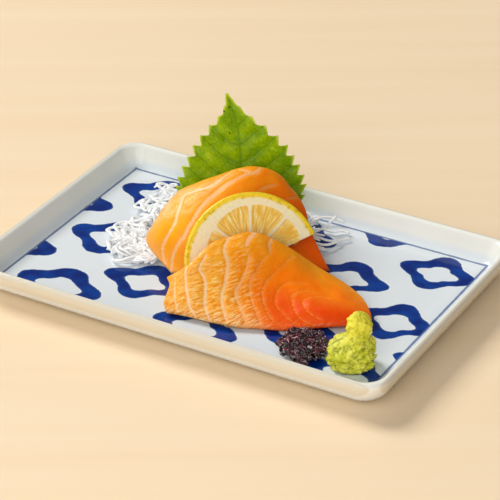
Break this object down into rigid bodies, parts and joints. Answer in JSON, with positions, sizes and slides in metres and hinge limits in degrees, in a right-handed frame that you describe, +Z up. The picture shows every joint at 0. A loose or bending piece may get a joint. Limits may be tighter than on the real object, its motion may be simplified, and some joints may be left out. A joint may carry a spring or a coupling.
{
  "type": "sashimi plate",
  "caption": "Salmon sashimi on a shallow rectangular porcelain tray with a blue ring pattern, with lemon, a shiso leaf, shredded daikon, wasabi and purple sprouts.",
  "frame": {"origin": "on the table, under the middle of the plate", "axes": "+X along the plate's long side, +Y away from the diner towards the leaf, +Z up"},
  "size_m": [0.19, 0.125, 0.0627],
  "materials": {
    "porcelain": "glossy",
    "salmon_back": "moist, glossy",
    "salmon_front": "moist, glossy",
    "lemon": "moist",
    "shiso": "satin",
    "daikon": "moist",
    "wasabi": "matt, coarse",
    "sprouts": "satin"
  },
  "bodies": {
    "root": {"plate": "porcelain", "salmon_back": "salmon_back", "salmon_front": "salmon_front", "lemon_half_slice": "lemon", "shiso_leaf": "shiso", "daikon_heap": "daikon", "wasabi": "wasabi", "purple_sprouts": "sprouts"}
  },
  "joints": []
}
